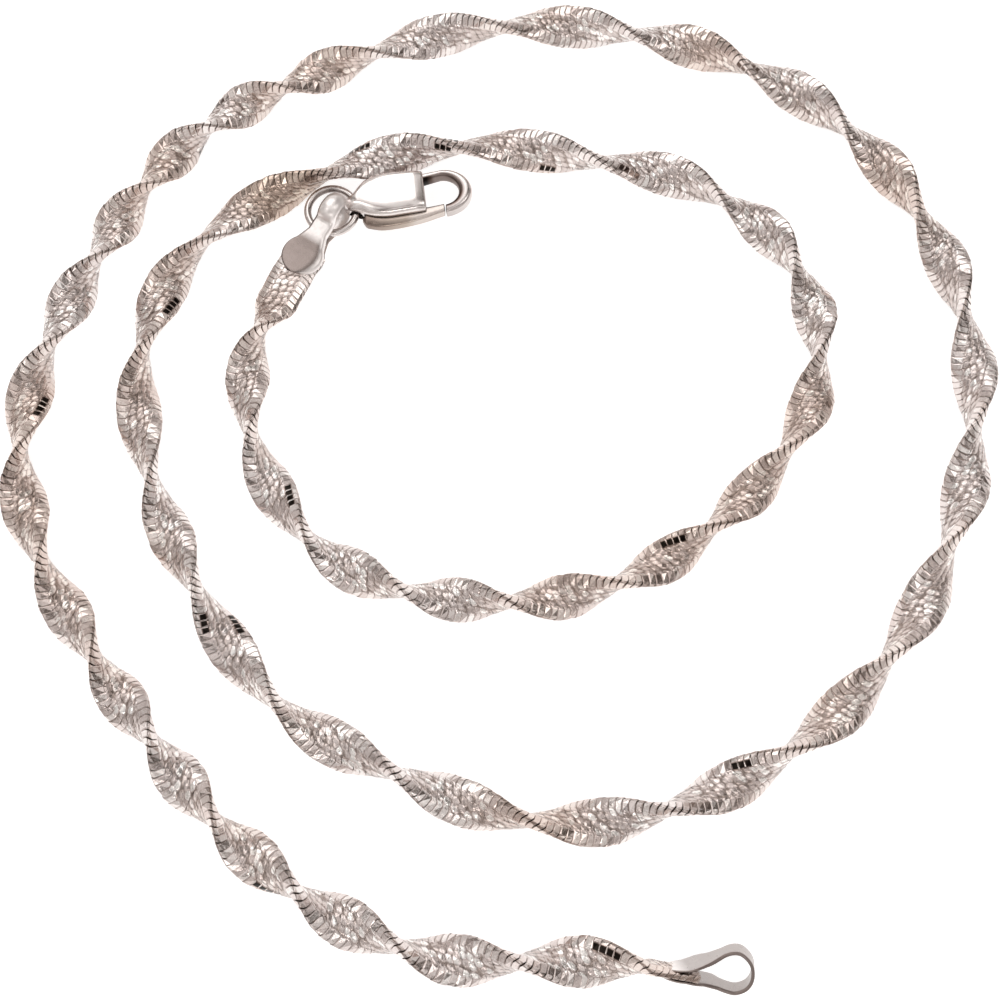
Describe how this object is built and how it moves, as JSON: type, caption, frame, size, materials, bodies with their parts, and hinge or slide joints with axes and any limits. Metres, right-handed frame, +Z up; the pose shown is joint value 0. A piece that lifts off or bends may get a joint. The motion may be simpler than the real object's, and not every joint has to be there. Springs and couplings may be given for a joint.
{
  "type": "chain necklace",
  "caption": "Twisted herringbone chain necklace with a folded loop tag at each end, a jump ring and a clasp with a sprung lever, lying coiled flat.",
  "frame": {"origin": "on the surface that the chain lies on, under the middle of its outline in plan", "axes": "+Z up from the surface, +X to the right in the picture, +Y away from the camera"},
  "size_m": [0.0774, 0.0783, 0.0034],
  "materials": {
    "woven_silver": "bright woven silver with faceted links",
    "tag_silver": "satin silver sheet",
    "polished_silver": "polished silver",
    "pin_silver": "satin silver"
  },
  "bodies": {
    "necklace": {"chain_free_half": "woven_silver", "chain_clasp_half": "woven_silver", "free_end_tag": "tag_silver", "clasp_end_tag": "tag_silver", "jump_ring": "polished_silver", "clasp_body": "polished_silver", "clasp_pin": "pin_silver"},
    "lever": {"clasp_lever": "polished_silver"}
  },
  "joints": [
    {"name": "lever_swing", "type": "hinge", "parent": "necklace", "child": "lever", "pos_m": [-0.01073, 0.02037, 0.0013], "axis": [0, 0, 1], "range_deg": [0, 20], "stiffness_Nm_per_rad": 0.004}
  ]
}
